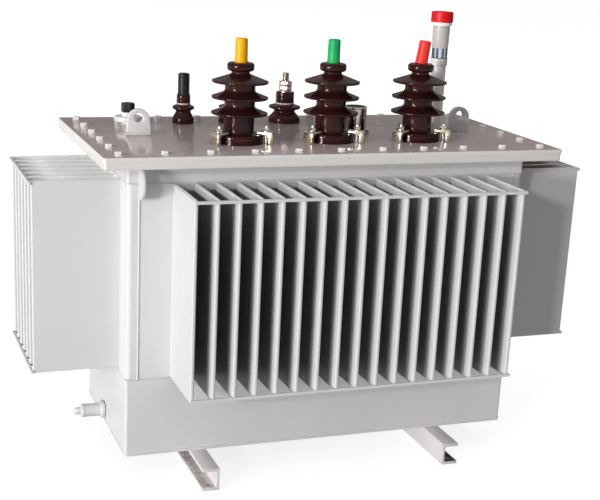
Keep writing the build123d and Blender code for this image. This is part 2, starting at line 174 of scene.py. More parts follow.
uneven_coat = uneven_coat_group()
print("group:", uneven_coat.name, list(coat_inputs))

# %% [markdown]
# ## Seam lines
# Skirt, corrugated band and collar are separate sheets, and a thin dark line shows where they meet. A
# groove could be cut there, but it would be only a few millimetres wide. A mask over the height does it, and
# as two paints use it, it is a node group that takes the two levels.

# %% The group of the seam line
seam_core = 0.8 * mm
seam_reach = 2.0 * mm


def calculated(tree, operation, *values):
    """Math node over sockets and numbers."""
    node = add(tree, "ShaderNodeMath", operation=operation)
    for socket, value in zip(node.inputs, values):
        feed(tree, socket, value)
    return node.outputs[0]


def place_axes(tree):
    """X, Y and Z of the Object coordinates."""
    split = add(tree, "ShaderNodeSeparateXYZ")
    tree.links.new(add(tree, "ShaderNodeTexCoord").outputs["Object"], split.inputs[0])
    return [split.outputs[axis] for axis in "XYZ"]


def seam_line_group():
    """Thin line along two levels."""
    levels = {"Lower seam": "float", "Upper seam": "float"}
    group, taken, given = new_group("seam_line", levels, {"Mask": "float"})
    height = place_axes(group)[2]
    lines = []
    for label in levels:
        away = calculated(group, "ABSOLUTE", calculated(group, "SUBTRACT", height, taken[label]))
        lines.append(remap(group, away, 1.0, 0.0, seam_core, seam_reach))
    group.links.new(calculated(group, "MAXIMUM", *lines), given["Mask"])
    return group


seam_line = seam_line_group()
tank_seam_levels = {"Lower seam": skirt_high.z, "Upper seam": collar_low.z}
print("group:", seam_line.name, {label: round(level, 4) for label, level in tank_seam_levels.items()})

# %% [markdown]
# ## Between the fins
# Hardly any light falls into the gaps between the fins, and their top edges stand out against the dark. The
# lamps alone could do that, but lamps wide enough for the rest of the tank also fill the gaps. So two fixed
# masks, worked out from the pitch of the fins, paint light and shade into the wall paint: painted shade in
# the gaps and a painted highlight along the tops; on the right wall the strip along the tops is painted
# shade instead. All four walls use them, so they are one node group, and a wall says which way it faces and
# how far it reaches.

# %% The group of the fin zones
fin_pitch = 45.3 * mm
long_wall_fins = 17
end_wall_fins = 7
long_wall_offset = 6 * mm
zone_inputs = ("Long wall", "Offset", "Half span", "Tip", "Clear of", "Top")


def fin_zones_group():
    """Masks between the fins of a wall: the gaps, and the strip along the top edge above them."""
    labels = {label: "float" for label in zone_inputs}
    group, taken, given = new_group("fin_zones", labels, {"Gap": "float", "Edge": "float"})
    x, y, z = place_axes(group)
    shifted = calculated(group, "MULTIPLY_ADD", calculated(group, "SIGN", y), taken["Offset"], x)

    def by_wall(end_value, long_value):
        """Value of a long wall or of an end wall."""
        more = calculated(group, "SUBTRACT", long_value, end_value)
        return calculated(group, "MULTIPLY_ADD", taken["Long wall"], more, end_value)

    def band(value, low, high, limit, near, far):
        """Ramp of an absolute value from low to high, between two distances from a limit."""
        ends = [calculated(group, "ADD", taken[limit], distance) for distance in (near, far)]
        return remap(group, calculated(group, "ABSOLUTE", value), low, high, *ends)

    outward = by_wall(x, y)
    inside = band(by_wall(y, shifted), 1.0, 0.0, "Half span", -1 * mm, 1 * mm)
    inward = band(outward, 1.0, 0.0, "Tip", -48 * mm, -17 * mm)
    clear = band(outward, 0.0, 1.0, "Clear of", 2 * mm, 12 * mm)
    top = band(z, 0.0, 1.0, "Top", -19 * mm, -15 * mm)
    between = calculated(group, "MULTIPLY", inside, inward)
    below = calculated(group, "SUBTRACT", 1.0, top)
    edge = calculated(group, "MULTIPLY", top, clear)
    # Gap is where painted shade goes; Edge is where a painted highlight goes, and painted shade on the right
    # wall
    group.links.new(calculated(group, "MULTIPLY", between, below), given["Gap"])
    group.links.new(calculated(group, "MULTIPLY", between, edge), given["Edge"])
    return group


fin_zones = fin_zones_group()
long_wall_zones = {
    "Long wall": 1.0, "Offset": long_wall_offset, "Half span": (long_wall_fins - 1) / 2 * fin_pitch,
    "Tip": abs(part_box("front_corrugated_wall")[0].y), "Clear of": half_width, "Top": collar_low.z,
}
end_wall_zones = {
    "Long wall": 0.0, "Offset": 0.0, "Half span": (end_wall_fins - 1) / 2 * fin_pitch,
    "Tip": abs(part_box("left_corrugated_wall")[0].x), "Clear of": 0.0, "Top": collar_low.z,
}
print("group:", fin_zones.name, "fins:", long_wall_fins, end_wall_fins)

# %% [markdown]
# ## One finish, one material
# Every finish of the transformer is the uneven coat with its own two tones, gloss and scales. A material
# could be built by hand for each, but they differ only in numbers. One function builds them all: the group
# feeds a Principled shader, a small bump gives the skin, and dark seam lines and painted light and shade lie
# over the tone where a mask says so.

# %% Helper: a coated material
skin_depth = 0.4 * mm


def placed(tree, group, values):
    """Place a node group with its own values and give its outputs."""
    node = add(tree, "ShaderNodeGroup", node_tree=group)
    for label, value in values.items():
        node.inputs[label].default_value = value
    return node.outputs


def coated(name, colour, shade, gloss, drift=4.0, skin=420.0, bump=0.10, seams_and_painted_light=(), **shader_values):
    """Material from the shared group: two tones, a low and a high roughness, a drift and a skin scale.

    Each seam line or patch of painted light and shade: a group, the group's values, the mask it takes from
    it and the colour it brings.
    """
    material = bpy.data.materials.new(name)
    material.use_nodes = True
    tree = material.node_tree
    shader = tree.nodes["Principled BSDF"]
    for label, value in shader_values.items():
        shader.inputs[label.replace("_", " ")].default_value = value
    coat = placed(tree, uneven_coat, {
        "Colour": (*colour, 1), "Shade": (*shade, 1), "Gloss low": gloss[0], "Gloss high": gloss[1],
        "Drift scale": drift, "Skin scale": skin,
    })
    tone = coat["Colour"]
    for group, values, mask, overlay_colour in seams_and_painted_light:
        tone = mixed(tree, placed(tree, group, values)[mask], tone, (*overlay_colour, 1))
    height = add(tree, "ShaderNodeBump", Strength=bump, Distance=skin_depth)
    tree.links.new(tone, shader.inputs["Base Color"])
    tree.links.new(coat["Roughness"], shader.inputs["Roughness"])
    tree.links.new(coat["Height"], height.inputs["Height"])
    tree.links.new(height.outputs["Normal"], shader.inputs["Normal"])
    return material


print("skin depth in metres:", skin_depth)

# %% [markdown]
# ## Tank paint
# The tank is sprayed in one light warm grey, satin, and only the seams and the fins need more than that. A
# separate colour for each wall could be mixed by eye, but it is one paint on the real tank, so all of these
# share the same two tones and differ only in their dark seam lines and in the painted shade and painted
# highlights of the fins.

# %% Paints of the tank
tank_colours = (0.64, 0.632, 0.634), (0.61, 0.602, 0.604)
tank_gloss = (0.34, 0.46)
seam_stain = (seam_line, tank_seam_levels, "Mask", (0.20, 0.185, 0.175))
# Painted shade in the gaps between the fins of the long walls
gap_painted_shade = (fin_zones, long_wall_zones, "Gap", (0.22, 0.214, 0.208))
# Painted highlights along the fin tops of the long walls and of the left wall
long_edge_painted_highlight = (fin_zones, long_wall_zones, "Edge", (0.88, 0.868, 0.866))
left_edge_painted_highlight = (fin_zones, end_wall_zones, "Edge", (0.88, 0.868, 0.866))
# Painted shade along the fin tops of the right wall, under the flange, in a dark reddish brown
right_top_painted_shade = (fin_zones, end_wall_zones, "Edge", (0.20, 0.145, 0.14))
tank_paint = coated("tank_paint", *tank_colours, tank_gloss)
seamed_paint = coated("seamed_paint", *tank_colours, tank_gloss, seams_and_painted_light=[seam_stain])
long_wall_paint = coated(
    "long_wall_paint", *tank_colours, tank_gloss, seams_and_painted_light=[seam_stain, gap_painted_shade, long_edge_painted_highlight]
)
left_wall_paint = coated("left_wall_paint", *tank_colours, tank_gloss, seams_and_painted_light=[left_edge_painted_highlight])
right_wall_paint = coated("right_wall_paint", *tank_colours, tank_gloss, seams_and_painted_light=[right_top_painted_shade])
print("tank paints:", tank_colours)

# %% [markdown]
# ## Other paints
# The cover is glossier and darker than the tank, so that it mirrors the room, the flange is a little warmer,
# and the channels are duller, with grime in the trough of the left one and a nearly black painted shade
# inside the right one. Each could be the tank's paint with a tint over it, but they come from other tins and
# other shops, so each is its own coat.

# %% Paints of cover, flange, channels and gauge
cover_paint = coated("cover_paint", (0.50, 0.43, 0.423), (0.43, 0.365, 0.358), (0.08, 0.18), 6.0, bump=0.05)
flange_paint = coated("flange_paint", (0.69, 0.667, 0.650), (0.66, 0.637, 0.620), tank_gloss)
bolt_paint = coated("bolt_paint", (0.74, 0.71, 0.70), (0.66, 0.62, 0.61), (0.22, 0.38), 60.0)
channel_paint = coated("channel_paint", (0.66, 0.635, 0.635), (0.60, 0.57, 0.565), (0.35, 0.5))
channel_grime = coated("channel_grime", (0.64, 0.60, 0.585), (0.34, 0.31, 0.295), (0.5, 0.7), 70.0, bump=0.3)
# Nearly black painted shade for the inside of the right channel
channel_primer = coated("channel_primer", (0.035, 0.033, 0.033), (0.06, 0.055, 0.053), (0.5, 0.7), 30.0)
pipe_paint = coated("pipe_paint", (0.74, 0.705, 0.675), (0.68, 0.645, 0.615), (0.28, 0.4), 14.0)
cage_paint = coated("cage_paint", (0.045, 0.05, 0.068), (0.06, 0.066, 0.085), (0.3, 0.45), 60.0)
ring_paint = coated("ring_paint", (0.86, 0.85, 0.84), (0.80, 0.79, 0.78), (0.3, 0.4), 14.0)
neck_paint = coated("neck_paint", (0.52, 0.50, 0.48), (0.48, 0.46, 0.44), (0.28, 0.4), 14.0)
print("paints so far:", len(bpy.data.materials))

# %% [markdown]
# ## Glaze and plastic
# Porcelain is fired with a dark brown glaze, nearly mirror smooth. The phase sleeves and caps are moulded in
# full colours and shine softly. Both could use a coat layer over a dull base, but one smooth layer with a
# low specular level keeps their colours as deep as they are.

# %% Porcelain, sleeves and caps
glaze = coated(
    "porcelain", (0.022, 0.005, 0.005), (0.034, 0.009, 0.008), (0.03, 0.08), 20.0, 160.0, 0.06,
    Specular_IOR_Level=0.16,
)
plastic = {"gloss": (0.3, 0.42), "drift": 40.0, "bump": 0.05, "Specular_IOR_Level": 0.2}
yellow = coated("yellow_sleeve", (0.88, 0.43, 0.001), (0.82, 0.38, 0.001), **plastic)
green = coated("green_sleeve", (0.010, 0.41, 0.11), (0.008, 0.36, 0.10), **plastic)
red = coated("red_sleeve", (0.92, 0.040, 0.032), (0.84, 0.034, 0.028), **plastic)
red_screw = coated("red_screw_cap", (0.76, 0.008, 0.012), (0.68, 0.007, 0.010), **plastic)
black = coated("black_sleeve", (0.010, 0.010, 0.011), (0.016, 0.016, 0.017), **plastic)
print("glaze and plastics ready, sleeves:", yellow.name, green.name, red.name)

# %% [markdown]
# ## Metals, rubber and glass
# Claws are zinc plated and passivated to a patchy gold, nuts are plain zinc, studs are tinned copper and the
# relief can is bright. Plating varies over a few millimetres, so the drift is fine here. The glass of the
# gauge is tinted a little blue; it could be left clear, but then only its cage would show.

# %% Plated metals, rubber ring and sight glass
plated = {"skin": 900.0, "Metallic": 1.0}
zinc_gold = coated(
    "zinc_gold", (0.76, 0.66, 0.44), (0.70, 0.66, 0.59), (0.20, 0.36), 70.0, bump=0.12, **plated
)
zinc_white = coated(
    "zinc_white", (0.82, 0.80, 0.78), (0.70, 0.67, 0.64), (0.22, 0.38), 70.0, bump=0.10, **plated
)
tinned = coated(
    "tinned_copper", (0.52, 0.44, 0.425), (0.44, 0.36, 0.34), (0.26, 0.42), 60.0, bump=0.08, **plated
)
bright_steel = coated(
    "bright_steel", (0.50, 0.455, 0.44), (0.42, 0.38, 0.365), (0.05, 0.12), 30.0, 700.0, 0.05, Metallic=1.0
)
pale_rubber = coated("pale_rubber", (0.52, 0.47, 0.46), (0.42, 0.38, 0.37), (0.45, 0.6), 60.0)
core_steel = coated("core_steel", (0.05, 0.048, 0.045), (0.09, 0.08, 0.07), (0.4, 0.6), 20.0)
sight_glass = coated(
    "sight_glass", (0.46, 0.51, 0.62), (0.42, 0.47, 0.58), (0.02, 0.06), 40.0, 300.0, 0.02,
    Transmission_Weight=1.0, IOR=1.47,
)
print("materials:", len(bpy.data.materials))

# %% [markdown]
# ## Painting the CAD nodes
# Every node names a material slot in the record, so it can be painted by that name. Each could be picked
# by hand, but a node that is added later would then stay bare. Walls, skirt, collar and posts come after it,
# because their paint has the seam lines and, on the walls, the painted shade and painted highlights.

# %% Every CAD node takes the finish of its slot
slot_materials = {
    "tank_paint": tank_paint, "cover_paint": cover_paint, "channel_paint": channel_paint,
    "grey_paint": pipe_paint, "porcelain": glaze, "yellow_cap": yellow, "green_cap": green,
    "red_cap": red, "black_sleeve": black, "gasket": tank_paint, "zinc_claws": zinc_gold,
    "tinned_stud": tinned, "sight_glass": sight_glass, "bright_can": bright_steel, "core_steel": core_steel,
}
nodes_with_seams_and_painted_light = {
    "front_corrugated_wall": long_wall_paint, "back_corrugated_wall": long_wall_paint,
    "left_corrugated_wall": left_wall_paint, "right_corrugated_wall": right_wall_paint,
    "lower_skirt": seamed_paint, "upper_collar": seamed_paint, "corner_posts": seamed_paint,
}
for row in frame["record"]["subparts"]:
    for place in nodes[row["node"]].material_slots:
        place.material = slot_materials[row["material_slot"]]
for node, material in nodes_with_seams_and_painted_light.items():
    nodes[node].material_slots[0].material = material

# %% [markdown]
# ## From a bmesh to a piece
# Every added piece is made in a bmesh at the place where it belongs, so its object keeps the origin of
# the frame. It could be made at the origin and moved as an object, but then patterns on Object coordinates
# would slide. Shading is smooth except over edges that are really sharp.

# %% Helpers that finish a piece
smooth_limit = math.radians(35)


def piece(name, bm, materials, slot, *replaced):
    """Hand a bmesh over as a piece that rides on the tank, in place of the named CAD nodes."""
    for face in bm.faces:
        face.smooth = True
    for edge in bm.edges:
        edge.smooth = len(edge.link_faces) == 2 and edge.calc_face_angle() < smooth_limit
    mesh = bpy.data.meshes.new(name)
    bm.to_mesh(mesh)
    bm.free()
    for material in materials:
        mesh.materials.append(material)
    made = bpy.data.objects.new(name, mesh)
    scene.collection.objects.link(made)
    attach(made, "root")
    if replaced:
        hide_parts(*replaced)
    print(name, "faces:", len(mesh.polygons))
    return made


def stamp(target, part, places):
    """Copy a small bmesh into a larger one at each of the given matrices."""
    mesh = bpy.data.meshes.new("stamp")
    part.to_mesh(mesh)
    part.free()
    for place in places:
        copy = mesh.copy()
        copy.transform(place)
        target.from_mesh(copy)
        bpy.data.meshes.remove(copy)
    bpy.data.meshes.remove(mesh)


def finish_faces(bm, index, chosen=None):
    """Give all faces, or those that a test chooses, another of the piece's materials."""
    for face in bm.faces:
        if chosen is None or chosen(face):
            face.material_index = index


print("edges look sharp from", round(math.degrees(smooth_limit)), "degrees")

# %% [markdown]
# ## Plates with broken edges
# Sawn and flame-cut plates have their edges ground off before painting, and that thin round is what
# catches the light along the cover. A Bevel modifier could do it, but only on clean faces. A copy of the CAD
# mesh gets it: its triangles are merged back into flat faces first, because a bevel on loose triangles would
# tear the plate apart.

# %% Helper: a softened copy of a CAD node
flat_limit = math.radians(0.5)
sharp_limit = math.radians(40)
weld_distance = 1e-6


def round_edges(bm, edges, width, segments=2, clamp=False):
    """Bevel edges to a round."""
    bmesh.ops.bevel(
        bm, geom=edges, offset=width, offset_type="OFFSET", affect="EDGES", segments=segments,
        profile=0.5, material=-1, clamp_overlap=clamp,
    )


def softened(node, width, segments=2, at_height=None):
    """Copy of a CAD mesh with its sharp edges rounded, all of them or those at one height."""
    bm = bmesh.new()
    bm.from_mesh(nodes[node].data)
    bmesh.ops.remove_doubles(bm, verts=bm.verts, dist=weld_distance)
    bmesh.ops.dissolve_limit(bm, angle_limit=flat_limit, verts=bm.verts, edges=bm.edges)
    edges = [edge for edge in bm.edges if len(edge.link_faces) == 2 and edge.calc_face_angle() > sharp_limit]
    if at_height is not None:
        edges = [edge for edge in edges if all(abs(vert.co.z - at_height) < 1e-5 for vert in edge.verts)]
    round_edges(bm, edges, width, segments, clamp=True)
    return bm


print("edges are rounded from", round(math.degrees(sharp_limit)), "degrees")

# %% Cover, flange and gasket
gasket_growth = 2.2 * mm
cover = softened("cover_plate", 1.6 * mm, 3, at_height=cover_top)
finish_faces(cover, 1, lambda face: face.normal.z > 0.95)
piece("cover_softened", cover, [flange_paint, cover_paint], "cover_paint", "cover_plate")
flange = softened("flange_frame", 1.2 * mm, at_height=flange_low.z)
piece("flange_softened", flange, [flange_paint], "tank_paint", "flange_frame")
gasket = softened("cover_gasket", 0.1 * mm)
for vert in gasket.verts:
    if abs(vert.co.x) > half_length or abs(vert.co.y) > half_width:
        vert.co.x += math.copysign(gasket_growth, vert.co.x)
        vert.co.y += math.copysign(gasket_growth, vert.co.y)
piece("gasket_flush", gasket, [flange_paint], "gasket", "cover_gasket")

# %% Ears and lugs
piece("ears_softened", softened("lashing_ears", 1.0 * mm), [tank_paint], "tank_paint", "lashing_ears")
for side in ("left", "right"):
    lug = f"lifting_lug_{side}"
    piece(f"{lug}_softened", softened(lug, 1.6 * mm, 3), [tank_paint], "cover_paint", lug)

# %% [markdown]
# ## Base channels
# The channels are rolled steel, painted outside. Dirt has settled in the trough of the left one, and the
# inside of the right one, which lies in shade, is painted nearly black as painted shade. A mask could follow
# the height, but the faces of a channel are known, so those that look up near the ground, or out of the web,
# simply take another material.

# %% Channels with grime and painted shade inside
trough_height = 20 * mm
inside_height = 40 * mm
channel_lip = 5 * mm
channel_finishes = [channel_paint, channel_grime, channel_primer]


def in_trough(face):
    """Faces that look up from a channel's bottom flange, which lies on the ground."""
    return face.normal.z > 0.9 and face.calc_center_median().z < trough_height


def in_right_channel(face):
    """Trough of the right channel, and the web behind it below the top flange."""
    middle = face.calc_center_median()
    on_web = face.normal.x > 0.9 and middle.z < inside_height and middle.x < right_reach - channel_lip
    return in_trough(face) or on_web


right_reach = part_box("base_channel_right")[1].x
# The left trough takes the grime; the right channel's trough and web take the painted shade
for side, index, chosen in (("left", 1, in_trough), ("right", 2, in_right_channel)):
    node = f"base_channel_{side}"
    channel = softened(node, 0.9 * mm)
    finish_faces(channel, index, chosen)
    piece(f"{node}_softened", channel, channel_finishes, "channel_paint", node)

# %% [markdown]
# ## Weld beads
# The tank is welded along every seam: round the bottom, above and below the corrugated band, under the
# flange and down both sides of each corner post. A bead is a thin bar of six sides, cut into rings that
# swell and shrink like the ripples of a weld pool. A bump map could draw it, but the beads stand proud in
# silhouette and catch the light.

# %% Helpers: straight and curved beads
bead_sides = 6
ripple_pitch = 5 * mm
ripple_swell = 0.14
slow_swell = 0.10
slow_wave = 91.0
corner_radius = 6 * mm
corner_steps = 8
corner_turns = {(1, 1): 0, (-1, 1): 90, (-1, -1): 180, (1, -1): 270}


def lay_bead(target, start, end, radius):
    """Rippled bar between two points."""
    along = Vector(end) - Vector(start)
    bm = bmesh.new()
    bmesh.ops.create_cone(
        bm, cap_ends=True, segments=bead_sides, radius1=radius, radius2=radius, depth=along.length
    )
    lengthwise = [edge for edge in bm.edges if edge.calc_length() > along.length * 0.9]
    cuts = 2 * round(along.length / ripple_pitch) - 1
    bmesh.ops.subdivide_edges(bm, edges=lengthwise, cuts=cuts, use_grid_fill=True)
    for vert in bm.verts:
        ripple = ripple_swell * math.cos(math.tau * vert.co.z / ripple_pitch)
        vert.co.xy *= 1 + ripple + slow_swell * math.sin(slow_wave * vert.co.z)
    middle = (Vector(start) + Vector(end)) / 2
    stamp(target, bm, [Matrix.Translation(middle) @ along.to_track_quat("Z", "Y").to_matrix().to_4x4()])


def lay_corner(target, corner_x, corner_y, height, radius):
    """Quarter of a ring round an upright tank corner."""
    bm = bmesh.new()
    place = Matrix.Translation((corner_radius, 0, 0)) @ Matrix.Rotation(math.pi / 2, 4, "X")
    ring = bmesh.ops.create_circle(bm, segments=bead_sides, radius=radius, matrix=place)["verts"]
    edges = list({edge for vert in ring for edge in vert.link_edges})
    bmesh.ops.spin(
        bm, geom=ring + edges, axis=(0, 0, 1), cent=(0, 0, 0), angle=math.pi / 2, steps=corner_steps
    )
    bmesh.ops.recalc_face_normals(bm, faces=bm.faces)
    turn = math.radians(corner_turns[corner_x, corner_y])
    middle = (
        corner_x * (half_length - corner_radius), corner_y * (half_width - corner_radius), height
    )
    stamp(target, bm, [Matrix.Translation(middle) @ Matrix.Rotation(turn, 4, "Z")])


print("bead ripples every", ripple_pitch, "m")

# %% Seams round the tank and down the corner posts
seams = bmesh.new()
seam_beads = ((skirt_low.z, 1.6), (skirt_high.z, 1.0), (collar_low.z, 1.0), (collar_high.z, 2.2))
post_bead = 2.2 * mm
straight_x = half_length - corner_radius
straight_y = half_width - corner_radius
for level, size in seam_beads:
    for side in (-1, 1):
        y = side * half_width
        lay_bead(seams, (-straight_x, y, level), (straight_x, y, level), size * mm)
        x = side * half_length
        lay_bead(seams, (x, -straight_y, level), (x, straight_y, level), size * mm)
        for other in (-1, 1):
            lay_corner(seams, side, other, level, size * mm)
post_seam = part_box("front_corrugated_wall")[1].x
end_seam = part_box("left_corrugated_wall")[1].y
for side in (-1, 1):
    for other in (-1, 1):
        for x, y in (
            (side * post_seam, other * half_width), (side * half_length, other * end_seam),
        ):
            lay_bead(seams, (x, y, skirt_high.z), (x, y, collar_low.z), post_bead)
piece("tank_seams", seams, [tank_paint], "tank_paint")

# %% [markdown]
# ## Welds on the fins
# Each fin is pressed shut at its top and bottom and welded there, and the two bars across the tips hold by
# spots, two at each crossing. An array could place them, but the four walls face four ways. A loop over the
# fins of one wall lays the beads and gathers the spots, and the wall's name and box say which way it faces.

# %% Closed fin ends and bar welds
fin_bead = 1.6 * mm
end_wall_lift = 8 * mm
fin_end = 3 * mm
tip_inset = 2 * mm
spot_radius = 2.6 * mm
spot_offset = 3 * mm
spot_rise = 1.5 * mm


def weld_fins(target, wall, count):
    """Bead over both closed ends of each fin of a wall; the spots where each bar crosses its tip."""
    low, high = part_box(wall)
    long_wall = high.x - low.x > high.y - low.y
    outward = -1 if wall.startswith(("front", "left")) else 1
    root = outward * (half_width if long_wall else half_length)
    tip = outward * max(abs(low.y if long_wall else low.x), abs(high.y if long_wall else high.x))
    lowest = skirt_high.z + fin_end + (0 if long_wall else end_wall_lift)
    spots = []
    for step in range(count):
        along = (step - (count - 1) / 2) * fin_pitch - (outward * long_wall_offset if long_wall else 0)
        for level, inward in ((lowest, fin_end), (collar_low.z - fin_end, -fin_end)):
            ends = [(along, depth, level) for depth in (root, tip - outward * tip_inset)]
            beside = [along - spot_offset, along + spot_offset]
            tips = [(side, tip + outward * spot_rise, level + inward) for side in beside]
            if not long_wall:
                ends = [(y, x, z) for x, y, z in ends]
                tips = [(y, x, z) for x, y, z in tips]
            lay_bead(target, *ends, fin_bead)
            spots += tips
    return spots


fin_welds = bmesh.new()
spots = []
for wall, count in (
    ("front", long_wall_fins), ("back", long_wall_fins), ("left", end_wall_fins), ("right", end_wall_fins),
):
    spots += weld_fins(fin_welds, f"{wall}_corrugated_wall", count)
spot = bmesh.new()
bmesh.ops.create_icosphere(spot, subdivisions=1, radius=spot_radius)
stamp(fin_welds, spot, [Matrix.Translation(place) for place in spots])
piece("fin_welds", fin_welds, [tank_paint], "tank_paint")

# %% [markdown]
# ## Bolts round the cover
# Cover and flange are drawn together by hexagon bolts with washers, painted over. Thirty objects could share
# one mesh, but then thirty pieces would have to be handed over. The bolt is made once and stamped at each
# place into one piece: eleven along each long side and six along each end, the corner bolts counted twice.

# %% Helpers: a hexagon and a disc


def hexagon(bm, flats, bottom, top, chamfer, turn=0.0):
    """Hexagonal prism with its rims chamfered round, standing on bottom."""
    part = bmesh.new()
    radius = flats / math.sqrt(3)
    height = top - bottom
    bmesh.ops.create_cone(part, cap_ends=True, segments=6, radius1=radius, radius2=radius, depth=height)
    rims = [edge for edge in part.edges if abs(edge.verts[0].co.z - edge.verts[1].co.z) < 1e-6]
    round_edges(part, rims, chamfer)
    stamp(bm, part, [Matrix.Translation((0, 0, (top + bottom) / 2)) @ Matrix.Rotation(turn, 4, "Z")])


def disc(bm, radius, bottom, top, segments=20):
    """Plain round disc standing on bottom."""
    place = Matrix.Translation((0, 0, (top + bottom) / 2))
    bmesh.ops.create_cone(
        bm, cap_ends=True, segments=segments, radius1=radius, radius2=radius, depth=top - bottom,
        matrix=place,
    )


print("hexagon and disc ready")

# %% One bolt, thirty places
bolt_inset_x = 38 * mm
bolt_inset_y = 34 * mm
long_side_bolts = 11
end_bolts = 6
washer_top = 1.6 * mm
bolt_turn = math.radians(15)
bolt = bmesh.new()
disc(bolt, 10 * mm, 0, washer_top)
hexagon(bolt, 16 * mm, washer_top, 7 * mm, 1.8 * mm, bolt_turn)
bolt_x = cover_high.x - bolt_inset_x
bolt_y = cover_high.y - bolt_inset_y
row_x = [bolt_x * (2 * step / (long_side_bolts - 1) - 1) for step in range(long_side_bolts)]
row_y = [bolt_y * (2 * step / (end_bolts - 1) - 1) for step in range(1, end_bolts - 1)]
bolt_places = [(x, side * bolt_y) for x in row_x for side in (-1, 1)]
bolt_places += [(side * bolt_x, y) for y in row_y for side in (-1, 1)]
bolts = bmesh.new()
stamp(bolts, bolt, [Matrix.Translation((x, y, cover_top)) for x, y in bolt_places])
piece("cover_bolts", bolts, [bolt_paint], "cover_paint")

# %% [markdown]
# ## Turned pieces
# Porcelain, sleeves, the gauge and the valves are all bodies of revolution. A Screw modifier could turn
# them, but the spin operator gives the mesh at once. Each is a half outline spun round its axis, and the
# outline's corners carry their own rounding, worked out as an arc, because fired glaze and moulded plastic
# have no sharp corner anywhere.

# %% Helpers: an outline with rounded corners, and the spin
arc_steps = 5


def outline(*corners):
    """Points in metres from corners (across, up) or (across, up, rounding) in millimetres."""
    points = []
    for index, corner in enumerate(corners):
        here = Vector(corner[:2]) * mm
        if len(corner) == 2:
            points.append(here)
            continue
        rounding = corner[2] * mm
        back = (Vector(corners[index - 1][:2]) * mm - here).normalized()
        ahead = (Vector(corners[(index + 1) % len(corners)][:2]) * mm - here).normalized()
        half = back.angle(ahead) / 2
        centre = here + (back + ahead).normalized() * rounding / math.sin(half)
        first = here + back * rounding / math.tan(half) - centre
        last = here + ahead * rounding / math.tan(half) - centre
        points += [centre + first.slerp(last, step / arc_steps) * rounding for step in range(arc_steps + 1)]
    return points


def turned(points, steps=48):
    """Spin an outline of (radius, height) points about the Z axis."""
    bm = bmesh.new()
    verts = [bm.verts.new((point.x, 0, point.y)) for point in points]
    edges = [bm.edges.new(pair) for pair in zip(verts, verts[1:])]
    bmesh.ops.spin(
        bm, geom=verts + edges, axis=(0, 0, 1), cent=(0, 0, 0), angle=math.tau, steps=steps, use_merge=True
    )
    bmesh.ops.remove_doubles(bm, verts=bm.verts, dist=weld_distance)
    bmesh.ops.recalc_face_normals(bm, faces=bm.faces)
    return bm


def turned_piece(name, points, material, slot, place, *replaced, steps=48):
    """Spun piece, carried to its place."""
    bm = turned(points, steps)
    bm.transform(place)
    return piece(name, bm, [material], slot, *replaced)


print("a corner is rounded in", arc_steps, "steps")

# %% [markdown]
# ## High-voltage bushings
# Three sheds keep rain from running down the porcelain, over a foot that the claws hold and under a round
# head. A sleeve in the colour of its phase covers each terminal, and the red one leans. The sheds could be
# separate discs, but the real porcelain is one piece, so one outline runs from foot to head.

# %% High-voltage porcelain and the colour sleeves
hv_shed_levels = (62.5, 96.0, 129.5)
hv_head_top = 170.5
hv_points = [(0, 0), (54, 0), (54, 20, 5), (33, 20, 5)]
for level in hv_shed_levels:
    shoulder = (20, 146.5, 3) if level == hv_shed_levels[-1] else (33, level + 12.5, 8)
    hv_points += [(33, level - 0.5, 6), (61, level - 2.5, 2.2), (61, level + 2.5, 2.0), shoulder]
hv_points += [(20, 152.5, 1.5), (29.5, 152.5, 6), (29.5, hv_head_top, 7), (0, hv_head_top)]
sleeve_points = outline(
    (0, hv_head_top), (14.8, hv_head_top, 0.6), (14.8, 173.7, 0.6), (14, 174.9, 0.6), (13.4, 218, 0.8),
    (12, 221, 1.2), (0, 221),
)
red_lean = math.radians(8)
lean_pivot = Matrix.Translation((0, 0, hv_head_top * mm))
red_tilt = lean_pivot @ Matrix.Rotation(red_lean, 4, "Y") @ lean_pivot.inverted()
for colour, material in (("yellow", yellow), ("green", green), ("red", red)):
    node = f"hv_bushing_{colour}"
    place = on_cover(node)
    turned_piece(f"{node}_glazed", outline(*hv_points), glaze, "porcelain", place, node, steps=64)
    upright = place @ red_tilt if colour == "red" else place
    sleeve_name = f"hv_sleeve_{colour}"
    turned_piece(sleeve_name, sleeve_points, material, f"{colour}_cap", upright, f"hv_cap_{colour}")

# %% [markdown]
# ## Claws
# Three cast claws hold each foot down. The side view is an arm that grips the foot, an arch over the stud
# and a leg on the cover. A box could be cut to that shape, but the arch is easier as an outline: it becomes
# a face, is extruded to the claw's width and gets round edges.

# %% One claw with its stud and nut
claw_width = 24 * mm
stud_circle = 60.6 * mm
claw_top = 27 * mm
claw_washer_top = 28.4 * mm
claw_round = 1.4 * mm
rim_limit = math.radians(60)


def claw_body():
    """Cast claw in the plane Y 0, its grip towards the axis."""
    bm = bmesh.new()
    points = outline((42, 20), (42, 27, 2), (77.2, 27, 5), (77.2, 0), (67.2, 0), (67.2, 20, 9))
    side = bm.faces.new([bm.verts.new((point.x, -claw_width / 2, point.y)) for point in points])
    grown = bmesh.ops.extrude_face_region(bm, geom=[side])["geom"]
    moved = [part for part in grown if isinstance(part, bmesh.types.BMVert)]
    bmesh.ops.translate(bm, verts=moved, vec=(0, claw_width, 0))
    bmesh.ops.recalc_face_normals(bm, faces=bm.faces)
    rims = [edge for edge in bm.edges if edge.calc_face_angle() > rim_limit]
    round_edges(bm, rims, claw_round)
    return bm


def claw_with_nut():
    """Claw with a stud through its arch, a washer and a nut in plain zinc."""
    bm = claw_body()
    fastener = bmesh.new()
    disc(fastener, 8 * mm, claw_top, claw_washer_top)
    hexagon(fastener, 13 * mm, claw_washer_top, 34.9 * mm, 1.2 * mm)
    disc(fastener, 4 * mm, 0, 39 * mm, 12)
    finish_faces(fastener, 1)
    stamp(bm, fastener, [Matrix.Translation((stud_circle, 0, 0))])
    return bm


